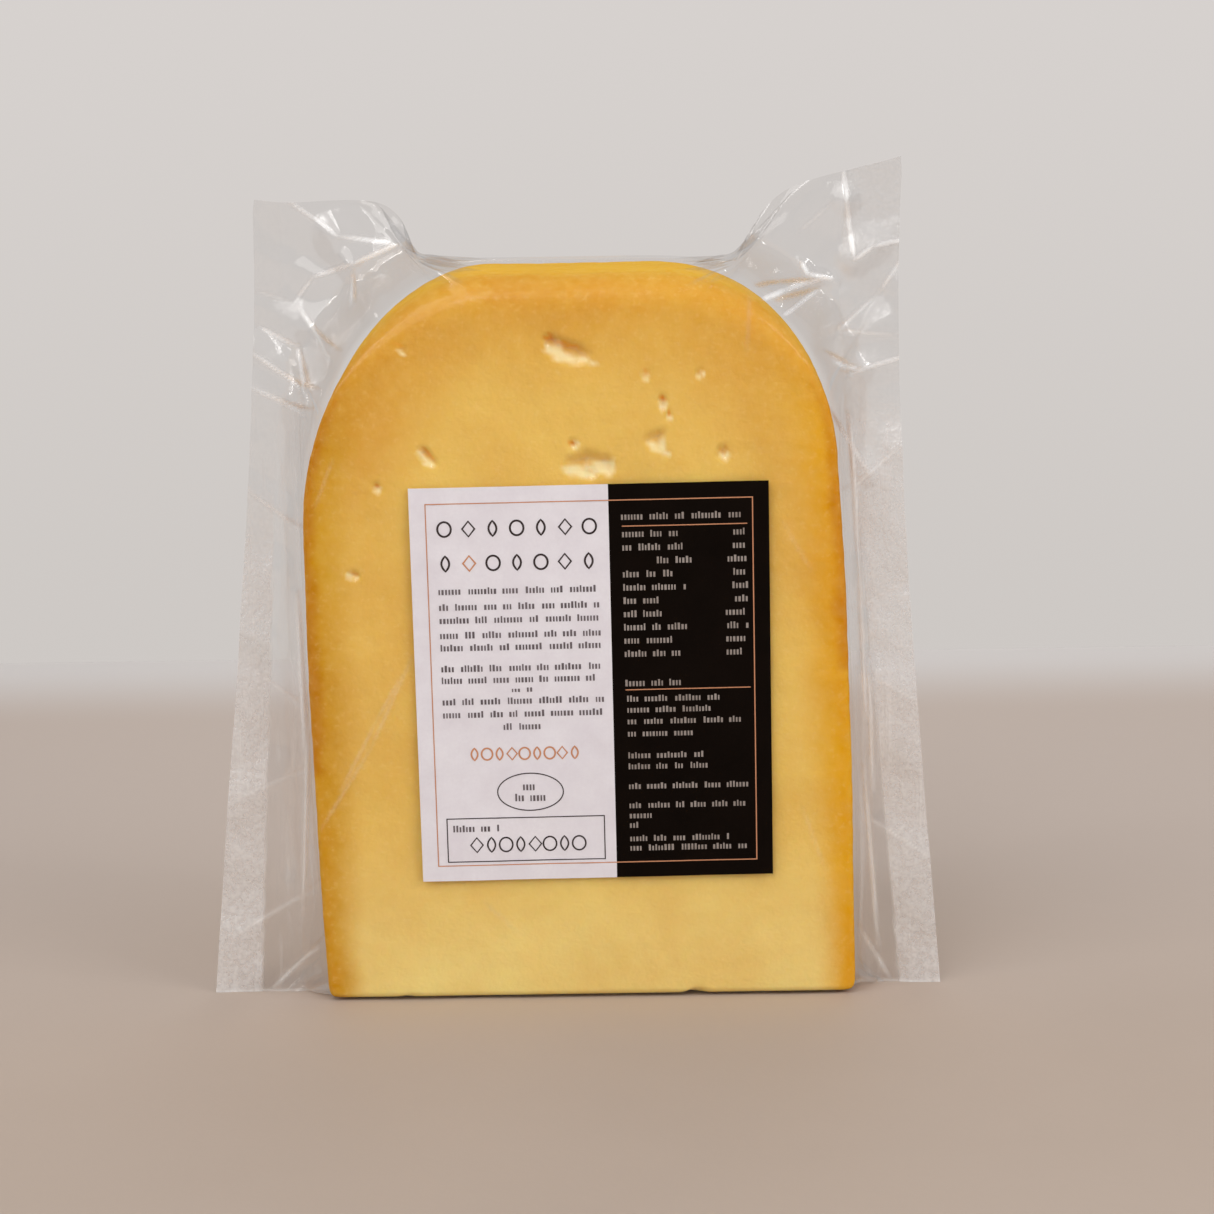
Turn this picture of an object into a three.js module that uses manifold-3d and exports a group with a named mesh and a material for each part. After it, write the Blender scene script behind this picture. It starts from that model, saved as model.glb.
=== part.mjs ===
// A vacuum-packed wedge of Gouda cheese, standing on its trimmed nose with the rim of the wheel on top.
//
// Frame: millimetres, +Z up, +X to the right, the labelled cut face looks along -Y.
// The origin is on the ground under the middle of the pouch, so the pack stands on z = 0.
//
// The wedge is a slice of a wheel whose axle lies along X, below the ground. Its outline, seen from
// the front, is the wheel's own section: two flat sides, two round shoulders and the rim. The outline
// is swept a few degrees either way round the axle, so both cut faces lean out towards the top.
// The pouch is two webs of clear film, one over each half, that meet in the plane y = 0 as flat margins.
// The paper label is stuck to the outside of the front web.

import * as THREE from "three";
import { mergeVertices } from "three/addons/utils/BufferGeometryUtils.js";
import Module from "manifold-3d";

const wasm = await Module();
wasm.setup();

// Driving dimensions of the cheese.
const FACE_HEIGHT = 110; // along a cut face, nose to rim
const NOSE_THICKNESS = 12;
const RIM_THICKNESS = 31.5;
const SWEEP_STEPS = 8; // across the thickness
const CURVE_STEPS = 14; // along each curve of the outline

// The pouch and its label.
const FILM = 0.2; // one web
const AIR = 0.3; // between pieces that touch
const POUCH_HALF_WIDTH = 55.6; // along the ground
const RIDGE = 1.2; // the seam stands this far over the film on the rim
const LABEL_WIDTH = 52.5;
const LABEL_HEIGHT = 60.5;
const LABEL_THICKNESS = 0.2;
const LABEL_CENTRE = new THREE.Vector2(3.1, 49.3); // across the face, and up along it
const LABEL_TURN = THREE.MathUtils.degToRad(0.5);

// Worked out from those.
const SIN_LEAN = (RIM_THICKNESS - NOSE_THICKNESS) / (2 * FACE_HEIGHT);
const LEAN = Math.asin(SIN_LEAN); // of each cut face, from upright
const NOSE_RADIUS = NOSE_THICKNESS / (2 * SIN_LEAN); // from the wheel's axle to the nose
const LIFT = AIR + FILM; // the cheese stands on its film
const SKIN = LIFT; // outside of the film, from the cheese
const RIM_HEIGHT = LIFT + FACE_HEIGHT;

// The wheel's section, upright, with its nose at height 0.
function cheeseOutline() {
  const outline = new THREE.Shape();
  outline.moveTo(-37.8, 0);
  outline.lineTo(42.2, 0);
  outline.quadraticCurveTo(41.9, 42, 39.3, 84);
  outline.bezierCurveTo(37.8, 99, 28, FACE_HEIGHT, 13, FACE_HEIGHT);
  outline.lineTo(-13, FACE_HEIGHT);
  outline.bezierCurveTo(-27, 108.6, -39.2, 92, -39.1, 72);
  outline.quadraticCurveTo(-39.3, 36, -37.8, 0);
  return outline;
}

// The flat margins of the pouch, where the two webs meet: side seals left and right, an ear at each
// top corner, and between the ears a low ridge that follows the rim.
function pouchOutline() {
  const ridge = RIM_HEIGHT + FILM + RIDGE;
  const outline = new THREE.Shape();
  outline.moveTo(-POUCH_HALF_WIDTH, 0);
  outline.lineTo(POUCH_HALF_WIDTH, 0);
  outline.quadraticCurveTo(52.6, 42, 51.3, 74);
  outline.quadraticCurveTo(49.6, 96, 51.5, 106);
  outline.lineTo(49.8, 126);
  outline.quadraticCurveTo(33, 124, 28.3, ridge - 0.6);
  outline.lineTo(13, ridge);
  outline.lineTo(-13, ridge);
  outline.lineTo(-23, ridge - 0.6);
  outline.quadraticCurveTo(-26, 121, -46.1, 121);
  outline.quadraticCurveTo(-45.6, 100, -47.6, 83);
  outline.quadraticCurveTo(-51.4, 46, -POUCH_HALF_WIDTH, 0);
  return outline;
}

// Moves every side of a closed outline outwards by distance.
function grown(outline, distance) {
  const points = outline.getPoints(CURVE_STEPS).slice(0, -1);
  const outward = points.map((point, i) => {
    const along = points[(i + 1) % points.length].clone().sub(point).normalize();
    return new THREE.Vector2(along.y, -along.x);
  });
  const moved = points.map((point, i) => {
    const before = outward[(i + points.length - 1) % points.length];
    const mitre = before.clone().add(outward[i]).normalize();
    return point.clone().addScaledVector(mitre, distance / mitre.dot(before));
  });
  return new THREE.Shape(moved);
}

// The wedge, or the wedge with a skin of the given thickness all over it.
function wedge(skin) {
  const geometry = new THREE.ExtrudeGeometry(grown(cheeseOutline(), skin), {
    depth: 2,
    steps: SWEEP_STEPS,
    curveSegments: CURVE_STEPS,
    bevelEnabled: false,
  });
  const position = geometry.attributes.position;
  for (let i = 0; i < position.count; i += 1) {
    const height = position.getY(i);
    const share = position.getZ(i) - 1; // -1 on the front cut face, 1 on the back one
    const swing = LEAN * share;
    const y = (NOSE_RADIUS + height) * Math.sin(swing) + skin * share;
    const z = LIFT + height * (height > 0 ? Math.cos(swing) : 1);
    position.setXYZ(i, position.getX(i), y, z);
  }
  return facingOut(geometry);
}

// A slab between two planes of constant y.
function slab(outline, fromY, toY) {
  const geometry = new THREE.ExtrudeGeometry(outline, {
    depth: toY - fromY,
    curveSegments: CURVE_STEPS,
    bevelEnabled: false,
  });
  geometry.rotateX(Math.PI / 2); // the outline's height becomes z, its depth runs towards -Y
  geometry.translate(0, toY, 0);
  return geometry;
}

// Turns every triangle round: laying the outline upright in wedge() mirrors the geometry.
function facingOut(geometry) {
  const flat = geometry.index ? geometry.toNonIndexed() : geometry;
  const position = flat.attributes.position;
  const a = new THREE.Vector3();
  const b = new THREE.Vector3();
  for (let i = 0; i < position.count; i += 3) {
    a.fromBufferAttribute(position, i + 1);
    b.fromBufferAttribute(position, i + 2);
    position.setXYZ(i + 1, b.x, b.y, b.z);
    position.setXYZ(i + 2, a.x, a.y, a.z);
  }
  return flat;
}

// A three.js geometry as a manifold-3d solid.
function solid(geometry) {
  const bare = geometry.clone();
  bare.deleteAttribute("normal");
  bare.deleteAttribute("uv");
  const merged = mergeVertices(bare, 1e-3);
  return new wasm.Manifold(
    new wasm.Mesh({
      numProp: 3,
      vertProperties: new Float32Array(merged.attributes.position.array),
      triVerts: new Uint32Array(merged.index.array),
    }),
  );
}

// A manifold-3d solid as a three.js geometry.
function geometryOf(body) {
  const mesh = body.getMesh();
  const geometry = new THREE.BufferGeometry();
  geometry.setAttribute("position", new THREE.BufferAttribute(mesh.vertProperties, 3));
  geometry.setIndex(new THREE.BufferAttribute(mesh.triVerts, 1));
  geometry.computeVertexNormals();
  return geometry;
}

// One web of film: the half of the pouch on one side of the seam, -1 for the front and 1 for the back.
function web(side) {
  const seam = AIR / 2;
  const outer = seam + FILM;
  const deepest = RIM_THICKNESS;
  const margin = side < 0 ? slab(pouchOutline(), -outer, -seam) : slab(pouchOutline(), seam, outer);
  const half = new THREE.BoxGeometry(200, deepest, 300);
  half.translate(0, side * (seam + deepest / 2), 0);
  const skin = solid(wedge(SKIN)).intersect(solid(half));
  return skin.add(solid(margin)).subtract(solid(wedge(AIR)));
}

// The label lies on the front web, turned a little in its own plane as stuck by hand.
function labelMesh(material) {
  const geometry = new THREE.BoxGeometry(LABEL_WIDTH, LABEL_THICKNESS, LABEL_HEIGHT);
  const mesh = new THREE.Mesh(geometry, material);
  const off = SKIN + AIR + LABEL_THICKNESS / 2; // from the cut face, along its normal
  const face = new THREE.Group();
  face.position.set(0, -NOSE_THICKNESS / 2, LIFT);
  face.rotation.x = LEAN;
  mesh.position.set(LABEL_CENTRE.x, -off, LABEL_CENTRE.y);
  mesh.rotation.y = -LABEL_TURN;
  face.add(mesh);
  mesh.name = "front_label";
  return face;
}

function named(name, geometry, material) {
  const mesh = new THREE.Mesh(geometry, material);
  mesh.name = name;
  return mesh;
}

const cheese = new THREE.MeshStandardMaterial({ color: 0xdcac58, roughness: 0.45, metalness: 0 });
const film = new THREE.MeshStandardMaterial({
  color: 0xe8e6e4,
  roughness: 0.15,
  metalness: 0,
  transparent: true,
  opacity: 0.25,
});
const paper = new THREE.MeshStandardMaterial({ color: 0xe6dcdc, roughness: 0.6, metalness: 0 });

const pack = new THREE.Group();
pack.add(named("cheese_wedge", wedge(0), cheese));
pack.add(named("front_film", geometryOf(web(-1)), film));
pack.add(named("back_film", geometryOf(web(1)), film));
pack.add(labelMesh(paper));

export default pack;
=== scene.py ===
# %% [markdown]
# # A vacuum-packed wedge of cheese
#
# This lesson builds the looks of one packed wedge of Gouda around its CAD model. The real pack is four
# things: the cheese, a front and a back web of clear film sealed together at the sides, and a paper
# label on the front web. The CAD model gives every size and place. Here each of the four gets the
# shape and the finish that a camera sees.

# %% Load the frame and measure it
import math

import bpy
import numpy as np
from mathutils import Matrix, Vector


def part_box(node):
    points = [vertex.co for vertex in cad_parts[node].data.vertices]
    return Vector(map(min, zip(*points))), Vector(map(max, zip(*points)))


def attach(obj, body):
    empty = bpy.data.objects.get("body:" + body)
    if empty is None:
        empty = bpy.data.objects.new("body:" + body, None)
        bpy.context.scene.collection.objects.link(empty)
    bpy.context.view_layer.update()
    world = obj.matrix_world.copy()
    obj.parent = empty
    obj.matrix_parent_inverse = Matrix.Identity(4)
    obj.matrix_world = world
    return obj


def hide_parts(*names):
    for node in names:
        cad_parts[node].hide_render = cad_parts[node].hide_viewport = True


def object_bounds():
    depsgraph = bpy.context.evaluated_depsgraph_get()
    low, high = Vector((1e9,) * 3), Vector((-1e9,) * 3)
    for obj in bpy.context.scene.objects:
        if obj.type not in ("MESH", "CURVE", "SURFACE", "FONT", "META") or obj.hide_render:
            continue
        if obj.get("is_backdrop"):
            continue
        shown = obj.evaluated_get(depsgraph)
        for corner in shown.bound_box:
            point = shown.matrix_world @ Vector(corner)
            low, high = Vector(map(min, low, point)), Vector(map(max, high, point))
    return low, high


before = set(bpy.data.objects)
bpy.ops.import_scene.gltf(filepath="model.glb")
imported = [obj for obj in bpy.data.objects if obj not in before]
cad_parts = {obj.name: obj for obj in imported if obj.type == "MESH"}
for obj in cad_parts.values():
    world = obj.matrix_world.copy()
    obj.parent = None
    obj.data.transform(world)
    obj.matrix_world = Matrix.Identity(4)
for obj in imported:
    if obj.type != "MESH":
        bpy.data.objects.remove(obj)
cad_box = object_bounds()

MM = 0.001


def box_in_mm(node):
    """The lowest and highest corner of a CAD node."""
    low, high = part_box(node)
    return np.array(low) / MM, np.array(high) / MM


cheese_low, cheese_high = box_in_mm("cheese_wedge")
film_low, film_high = box_in_mm("front_film")
label_low, label_high = box_in_mm("front_label")
print("cheese", (cheese_high - cheese_low).round(1), "pouch", (film_high - film_low).round(1), "mm")

# %% [markdown]
# ## The camera
#
# A long lens from a little above shows the front face almost square on, with only a sliver of the rim.
# A short lens would widen the top of the wedge and shrink its base. The slight roll is that of a
# camera held by hand.

# %% Camera
CAMERA_ELEVATION = math.radians(10)
CAMERA_ROLL = math.radians(-0.86)
CAMERA_DISTANCE = 0.5075
CAMERA_AIM = Vector((0.0053, 0, 0.0592))


def add_camera():
    """A 100 mm lens on a 36 mm sensor, looking along +Y and a little down."""
    data = bpy.data.cameras.new("camera")
    data.lens = 100
    data.sensor_width = 36
    data.clip_start = 0.01
    camera = bpy.data.objects.new("camera", data)
    bpy.context.scene.collection.objects.link(camera)
    back = Vector((0, -math.cos(CAMERA_ELEVATION), math.sin(CAMERA_ELEVATION)))
    camera.location = CAMERA_AIM + back * CAMERA_DISTANCE
    level = (-back).to_track_quat("-Z", "Y").to_matrix()
    camera.rotation_euler = (level @ Matrix.Rotation(CAMERA_ROLL, 3, "Z")).to_euler()
    bpy.context.scene.camera = camera
    return camera


camera = add_camera()
print("camera at", tuple(round(v, 3) for v in camera.location))

# %% [markdown]
# ## The shape of the wedge
#
# The cheese is a slice of a wheel. Its front outline is the wheel's own section, and the slice is swept
# a few degrees either way round the wheel's axle, which lies below the nose. So a place on the cheese
# has three numbers: x across, height from the nose to the rim, and share, from -1 on the front cut face
# to 1 on the back one. Everything that touches the cheese is laid out in these numbers.

# %% Wedge coordinates
lift = cheese_low[2]  # the cheese stands on its film
face_height = cheese_high[2] - cheese_low[2]
cad_points = np.array([v.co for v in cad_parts["cheese_wedge"].data.vertices]) / MM
nose_half = np.abs(cad_points[cad_points[:, 2] < lift + 0.01, 1]).max()
lean = math.asin((cheese_high[1] - nose_half) / face_height)
nose_radius = nose_half / math.sin(lean)


def at(x, height, share, off=0.0):
    """The point, in mm, at wedge coordinates. off is how far it stands off its cut face."""
    swing = lean * share
    y = (nose_radius + height) * np.sin(swing) + off * np.sign(share)
    z = lift + height * np.cos(swing)
    return np.stack(np.broadcast_arrays(x, y, z), -1).astype(float)


def half_thickness(height):
    return (nose_radius + height) * math.sin(lean)


print(f"cut faces lean {math.degrees(lean):.2f} degrees, nose {2 * nose_half:.1f} mm thick")

# %% [markdown]
# ## The outline
#
# The wheel's section has two nearly straight sides, two round shoulders and a flat rim. A few Bezier
# curves say that. Evenly spaced points and a little smoothing take the sharpness off the two corners
# at the nose, where a knife never leaves a true edge.

# %% Outline curves
def bezier(*controls, count=60):
    """Points along a Bezier curve. The last is left out, so that curves can follow each other."""
    t = np.linspace(0, 1, count, endpoint=False)[:, None]
    order = len(controls) - 1
    terms = [
        math.comb(order, k) * (1 - t) ** (order - k) * t**k * np.array(point, float)
        for k, point in enumerate(controls)
    ]
    return np.sum(terms, 0)


def evenly(points, count):
    """The same closed line with count points, evenly spaced."""
    points = np.vstack([points, points[:1]])
    run = np.r_[0, np.cumsum(np.linalg.norm(np.diff(points, axis=0), axis=1))]
    wanted = np.linspace(0, run[-1], count, endpoint=False)
    return np.stack([np.interp(wanted, run, column) for column in points.T], -1)


def eased(line, times):
    """A closed line with each point drawn towards its neighbours, times over."""
    for _ in range(times):
        line = (np.roll(line, 1, 0) + 2 * line + np.roll(line, -1, 0)) / 4
    return line


AROUND = 540  # points round the cheese
CORNER_SMOOTHING = 5


def cheese_outline(count):
    """The wheel's section, anticlockwise from the left of the nose, as x and height."""
    top = face_height
    curves = [
        bezier((-37.8, 0), (42.2, 0)),
        bezier((42.2, 0), (41.9, 42), (39.3, 84)),
        bezier((39.3, 84), (37.8, 99), (28, top), (13, top)),
        bezier((13, top), (-13, top)),
        bezier((-13, top), (-27, 108.6), (-39.2, 92), (-39.1, 72)),
        bezier((-39.1, 72), (-39.3, 36), (-37.8, 0)),
    ]
    return eased(evenly(np.vstack(curves), count), CORNER_SMOOTHING)


outline = cheese_outline(AROUND)
print(len(outline), "points round the cheese")

# %% [markdown]
# ## How far from the rind
#
# Two things need the distance to the outline: the film, which must not sink into the cheese, and the
# colour of the paste, which is deepest just under the rind. The distance is measured once, on a fine
# grid, and read back between the grid's points.

# %% Distance to the outline
class DistanceField:
    """Signed distance to a closed line, negative inside, read from a grid."""

    def __init__(self, line, low=(-72, -12), high=(72, 142), step=0.75):
        self.low, self.step = np.array(low, float), step
        across = np.arange(low[0], high[0] + step, step)
        up = np.arange(low[1], high[1] + step, step)
        grid = np.stack(np.meshgrid(across, up, indexing="ij"), -1)
        flat = grid.reshape(-1, 2)
        nearest = np.full(len(flat), np.inf)
        inside = np.zeros(len(flat), bool)
        for a, b in zip(line, np.roll(line, -1, 0)):
            edge = b - a
            along = np.clip(((flat - a) @ edge) / (edge @ edge), 0, 1)
            nearest = np.minimum(nearest, ((flat - a - along[:, None] * edge) ** 2).sum(1))
            if a[1] != b[1]:
                crosses = (a[1] > flat[:, 1]) != (b[1] > flat[:, 1])
                inside ^= crosses & (flat[:, 0] < a[0] + (flat[:, 1] - a[1]) * edge[0] / edge[1])
        self.values = (np.sqrt(nearest) * np.where(inside, -1, 1)).reshape(grid.shape[:2])
        self.slopes = np.gradient(self.values, step)

    def read(self, x, height):
        """The distance, and its slope along x and along height."""
        place = [(x - self.low[0]) / self.step, (height - self.low[1]) / self.step]
        place = [np.clip(p, 0, size - 1.001) for p, size in zip(place, self.values.shape)]
        i, j = (p.astype(int) for p in place)
        u, v = place[0] - i, place[1] - j

        def blend(table):
            low = table[i, j] * (1 - u) + table[i + 1, j] * u
            high = table[i, j + 1] * (1 - u) + table[i + 1, j + 1] * u
            return low * (1 - v) + high * v

        return blend(self.values), blend(self.slopes[0]), blend(self.slopes[1])


field = DistanceField(outline[::4])
print("deepest point of the face is", round(-float(field.values.min()), 1), "mm from the rind")

# %% [markdown]
# ## Unevenness
#
# Nothing here is perfectly flat: a cheese wire wanders, film buckles, paper cockles. A handful of sine
# waves in random directions, of a few lengths, gives a smooth unevenness that costs almost nothing
# and comes out the same every time because the directions are seeded.

# %% Soft waves
def soft_waves(points, size, seed, count=9):
    """Smooth unevenness between about -1 and 1, with bumps about size across."""
    draw = np.random.default_rng(seed)
    directions = draw.normal(size=(count, points.shape[-1]))
    directions /= np.linalg.norm(directions, axis=1, keepdims=True)
    lengths = size * draw.uniform(1.2, 3.0, count)
    starts = draw.uniform(0, 2 * math.pi, count)
    total = np.zeros(points.shape[:-1])
    for direction, length, start in zip(directions, lengths, starts):
        total += np.sin(points @ direction * (2 * math.pi / length) + start)
    return total / math.sqrt(count)


def smooth_step(value, low, high):
    t = np.clip((value - low) / (high - low), 0, 1)
    return t * t * (3 - 2 * t)


print("a sample wave", round(float(soft_waves(np.zeros((1, 3)), 5, 1)[0]), 3))

# %% [markdown]
# ## Eyes and slits
#
# Gouda has a few small openings: round eyes from gas and ragged slits where the curd did not knit. The
# film is sucked part of the way into each, so it needs the same hollows. One function gives the depth
# of them all, and both the cheese and its film are pressed in by it. An upper lip is steep and a lower
# one runs out gently, which is why an eye has a dark top and a bright bottom. The same function masks
# the throats and lower lips, so that shade can be painted into the first, as a deeper orange, and a
# highlight onto the second, as a pale cream.

# %% Hollows in the cut faces
# across, height, half length, half width, turn in degrees, depth, how open its throat is
FRONT_HOLLOWS = [
    (-2.3, 100.6, 1.2, 1.0, 20, 1.3, 1.0),
    (0.6, 99.2, 3.2, 1.1, -16, 1.4, 0.7),
    (2.4, 82.9, 3.0, 1.4, 8, 1.1, 0.0),
    (5.0, 82.6, 1.5, 1.2, 30, 1.0, 0.1),
    (0.6, 85.2, 0.7, 0.5, 60, 0.7, 0.9),
    (13.8, 91.6, 0.6, 0.8, 0, 0.8, 1.0),
    (14.6, 89.3, 0.6, 0.5, 30, 0.6, 0.8),
    (12.7, 86.0, 1.4, 1.1, 20, 1.0, 0.0),
    (11.5, 95.4, 0.7, 0.6, 0, 0.7, 0.5),
    (22.4, 83.9, 0.9, 0.8, 20, 0.9, 0.2),
    (-20.4, 83.9, 1.8, 0.6, -52, 1.0, 0.7),
    (-27.9, 79.4, 0.5, 0.6, 0, 0.7, 0.6),
    (-31.5, 66.1, 1.0, 0.5, -40, 0.8, 0.3),
    (-23.7, 99.7, 0.4, 0.8, 0, 0.6, 0.8),
    (19.3, 95.6, 0.9, 0.4, 20, 0.6, 0.2),
]
BACK_HOLLOWS = [
    (-14.0, 92.0, 2.6, 1.0, 24, 1.3, 0.7),
    (9.5, 74.0, 1.1, 0.9, 0, 1.0, 0.4),
    (24.0, 88.0, 1.0, 0.8, 40, 0.9, 0.6),
    (-22.0, 60.0, 1.6, 0.8, -30, 1.0, 0.5),
    (4.0, 43.0, 0.9, 0.8, 0, 0.8, 0.3),
    (-6.0, 24.0, 2.2, 0.7, 12, 1.0, 0.6),
    (18.0, 30.0, 0.8, 0.7, 0, 0.8, 0.2),
]


UPPER_LIP, LOWER_LIP = 1.4, 0.5  # how steep each side of a hollow is
DISH_SHARE = 0.75  # of a hollow's depth, the rest being the slit in its throat


def hollow_shapes(x, height, hollows):
    """Depth in mm of the hollows of one cut face, and masks of where shade is painted deep in the slits
    and where a highlight is painted on the lower edges.
    """
    place = np.stack(np.broadcast_arrays(x, height), -1).astype(float)
    depth, throat_shade, lip_highlight = np.zeros((3, *place.shape[:-1]))
    ragged = 1 + 0.2 * soft_waves(place, 1.3, 5)
    for centre_x, centre_h, length, width, turn, deep, opened in hollows:
        c, s = math.cos(math.radians(turn)), math.sin(math.radians(turn))
        dx, dh = x - centre_x, height - centre_h
        along, over = (dx * c + dh * s) / length, (-dx * s + dh * c) / width
        steep = np.where(over > 0, over * UPPER_LIP, over * LOWER_LIP)
        dish = np.sqrt(along**2 + steep**2) * ragged
        slit = np.sqrt((along * 1.05) ** 2 + (over * 1.7 - 0.45) ** 2) * ragged
        depth = np.maximum(depth, DISH_SHARE * deep * (1 - smooth_step(dish, 0.15, 1.3)))
        depth += (1 - DISH_SHARE) * deep * opened * (1 - smooth_step(slit, 0.3, 1.1))
        # masks for the shade painted in the throat and the highlight painted on the lower lip
        throat_shade = np.maximum(throat_shade, opened * (1 - smooth_step(slit, 0.4, 0.9)))
        lower = smooth_step(-over, 0.15, 0.8) * (1 - smooth_step(np.abs(dish - 0.75), 0.1, 0.5))
        lip_highlight = np.maximum(lip_highlight, lower)
    return depth, throat_shade, lip_highlight


print(len(FRONT_HOLLOWS), "hollows in front,", len(BACK_HOLLOWS), "behind")

# %% [markdown]
# ## The cheese
#
# The mesh is a stack of closed rings, like the skin of an onion pulled over the wedge: small rings in
# the middle of the front face, then wider ones to the edge, round the edge, across the rind, and in
# again over the back. A boolean or a remesh would also give the solid, but rings put the points where
# they matter, close together round the cut edges. The rings are moved by the hollows and the waves.

# %% Rings of the cheese
EDGE_ROUND = 0.9  # how much a cut edge is worn
RIM_WEAR = 4.4  # times as much again at the rim
EDGE_BAND = 1.2  # the rings follow the outline within this of it
FRONT_RINGS, RIND_RINGS, BACK_RINGS = 84, 24, 60
MIDDLE_HEIGHT = 0.47  # of the face's height, where its rings shrink to
NOSE_EASING = 14  # smooths the face's rings, which would cross themselves at the nose's corners


def edge_wear(height):
    """How many times EDGE_ROUND a cut edge is rounded at a height. The rim's edges are softest."""
    return 1 + RIM_WEAR * smooth_step(height, 90, 109)


def inward(line):
    """Unit vectors into the outline at each of its points."""
    along = np.roll(line, -1, 0) - np.roll(line, 1, 0)
    along /= np.linalg.norm(along, axis=1, keepdims=True)
    return np.stack([-along[:, 1], along[:, 0]], -1)


def face_rings(count):
    """(share of the way out from the middle, inset, depth below the cut face), middle to rind."""
    rings = [(s, EDGE_BAND, 0.0) for s in np.linspace(0.012, 1, count)]
    rings += [(1, inset, 0.0) for inset in np.linspace(EDGE_BAND, EDGE_ROUND, 3)[1:]]
    for turn in np.linspace(0, math.pi / 2, 7)[1:]:
        worn = EDGE_ROUND * (1 - math.sin(turn)), EDGE_ROUND * (1 - math.cos(turn))
        rings.append((1, *worn))
    return rings


def ring_points(ring, side):
    """One ring on the front (side -1) or back (side 1) half, and how much of it is cut face."""
    s, inset, sunk = ring
    middle = np.array([(outline[:, 0].min() + outline[:, 0].max()) / 2, face_height * MIDDLE_HEIGHT])
    wear = edge_wear(outline[:, 1])
    line = outline + (inset * wear)[:, None] * inward(outline)
    if inset == EDGE_BAND:  # not yet in the rounding
        line = eased(line, NOSE_EASING)
    line = middle + s * (line - middle)
    share = side * (1 - sunk * wear / half_thickness(line[:, 1]))
    return at(line[:, 0], line[:, 1], share), np.full(AROUND, side * (1 - sunk / EDGE_ROUND))


def cheese_rings():
    """Every ring from the middle of the front to the middle of the back: its points, and a number
    that is -1 on the front cut face, 1 on the back one and 0 on the rind, with a fade between."""
    front = [ring_points(ring, -1) for ring in face_rings(FRONT_RINGS)]
    edge = 1 - EDGE_ROUND * edge_wear(outline[:, 1]) / half_thickness(outline[:, 1])
    rind = [
        (at(outline[:, 0], outline[:, 1], edge * t), np.zeros(AROUND))
        for t in np.linspace(-1, 1, RIND_RINGS + 2)[1:-1]
    ]
    back = [ring_points(ring, 1) for ring in reversed(face_rings(BACK_RINGS))]
    rings = front + rind + back
    return np.array([r[0] for r in rings]), np.array([r[1] for r in rings])


rings, ring_side = cheese_rings()
print(rings.shape[0], "rings of", rings.shape[1], "points")

# %% Press in the hollows and the knife's wander
CUT_WAVES = 0.12  # the knife's wander
RIND_WAVES = 0.07
FINE_WAVES = 0.03  # small unevenness of both
DEEPENED = 1.15  # the cheese's hollows, against the list
CHIPPED = 0.6  # how high the nose is chipped


def worn_cheese(points, side):
    """The rings with hollows, waves on the cut faces, a slightly lumpy rind and a chipped nose.
    With them come the distance to the rind and the masks of painted shade deep in the slits and of a
    painted highlight on the lower edges of the hollows."""
    x, height = points[..., 0], points[..., 2] - lift
    front = np.array(hollow_shapes(x, height, FRONT_HOLLOWS)) * (side < 0)
    back = np.array(hollow_shapes(x, height, BACK_HOLLOWS)) * (side > 0)
    hollow, throat_shade, lip_highlight = front + back
    depth = DEEPENED * hollow
    depth += np.abs(side) * CUT_WAVES * (1 + soft_waves(points, 9, 11))
    depth += np.abs(side) * FINE_WAVES * soft_waves(points, 1.6, 12)
    moved = points.copy()
    moved[..., 1] += np.where(points[..., 1] < 0, 1, -1) * depth
    distance, slope_x, slope_h = field.read(x, height)
    near = smooth_step(distance, -2.5, -0.2)
    pushed = near * RIND_WAVES * (soft_waves(points, 14, 13) - 1)
    pushed += near * FINE_WAVES * soft_waves(points, 1.5, 14)
    above_nose = smooth_step(height, 0.5, 4)
    moved[..., 0] += pushed * slope_x
    moved[..., 2] += pushed * slope_h * above_nose
    nose = (1 - above_nose) * smooth_step(soft_waves(points[..., :2], 4, 15), 0.9, 1.8)
    moved[..., 2] += CHIPPED * nose
    return moved, distance, throat_shade, lip_highlight


cheese_points, rind_distance, throat_shades, lip_highlights = worn_cheese(rings, ring_side)
print("moved by up to", round(float(np.abs(cheese_points - rings).max()), 2), "mm")

# %% [markdown]
# A helper turns any set of points and faces into an object, and another stores a number on every point.
# A material can read such a number by name, which is how the paste knows how far the rind is.

# %% Meshes and stored numbers
def mesh_object(name, points, faces, smooth=True):
    """An object from points in mm. Faces are rows of point numbers."""
    mesh = bpy.data.meshes.new(name)
    mesh.from_pydata((points.reshape(-1, 3) * MM).tolist(), [], [list(map(int, f)) for f in faces])
    mesh.polygons.foreach_set("use_smooth", [smooth] * len(mesh.polygons))
    mesh.validate()
    piece = bpy.data.objects.new(name, mesh)
    bpy.context.scene.collection.objects.link(piece)
    return piece


def store(piece, name, values):
    """One number on each point of the piece."""
    attribute = piece.data.attributes.new(name, "FLOAT", "POINT")
    attribute.data.foreach_set("value", np.asarray(values, np.float32).ravel())


def grid_faces(rows, columns, closed=False):
    """Quads over a grid of points, numbered row by row. Closed joins the last column to the first."""
    number = np.arange(rows * columns).reshape(rows, columns)
    right = np.roll(number, -1, 1) if closed else number[:, 1:]
    here = number if closed else number[:, :-1]
    quads = [here[:-1], right[:-1], right[1:], here[1:]]
    return np.stack(quads, -1).reshape(-1, 4)


# %% Make the cheese
SIDES_COUNT_BELOW = 40


def side_at(height, side):
    """x of the left (-1) or right (1) side of the outline, straight on down past the nose's corner."""
    line = outline[(side * outline[:, 0] > 0) & (outline[:, 1] > 3)]
    line = line[np.argsort(line[:, 1])]
    return np.interp(height, line[:, 1], line[:, 0])


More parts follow.
